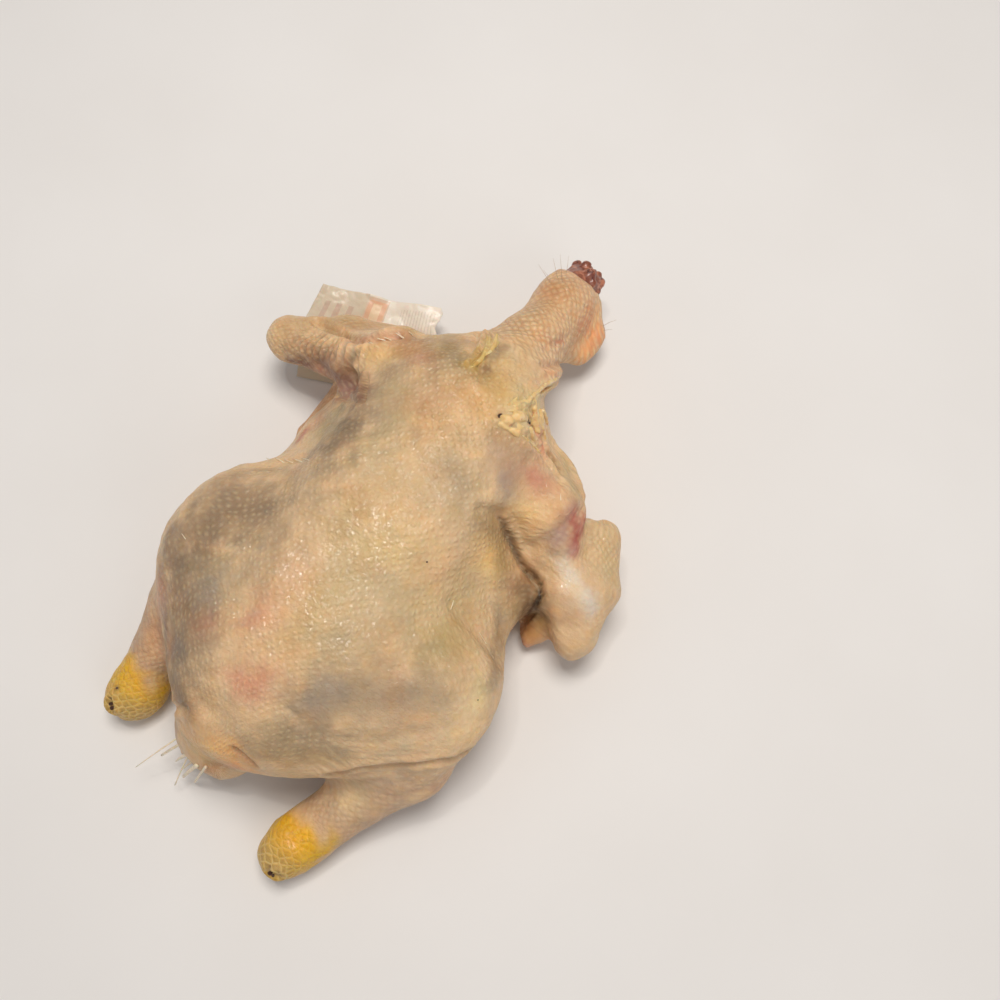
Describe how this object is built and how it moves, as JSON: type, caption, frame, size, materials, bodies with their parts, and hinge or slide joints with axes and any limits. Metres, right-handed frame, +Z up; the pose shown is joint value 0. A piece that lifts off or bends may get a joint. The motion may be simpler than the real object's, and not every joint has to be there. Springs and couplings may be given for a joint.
{
  "type": "whole raw chicken",
  "caption": "Whole raw plucked chicken lying on its breast, back up, with its skin-covered neck, folded wings, legs cut at the hocks and a film tag under one wing.",
  "frame": {"origin": "centre of the bounding box, at the surface that the bird lies on", "axes": "+Z up, +Y along the spine from the tail towards the neck, +X towards the bird's right"},
  "size_m": [0.2418, 0.3454, 0.1065],
  "materials": {
    "bird": "moist plucked skin",
    "neck_meat": "wet raw meat",
    "wing_tag": "thin crumpled film"
  },
  "bodies": {
    "root": {"bird": "bird", "neck_meat": "neck_meat", "wing_tag": "wing_tag"}
  },
  "joints": []
}
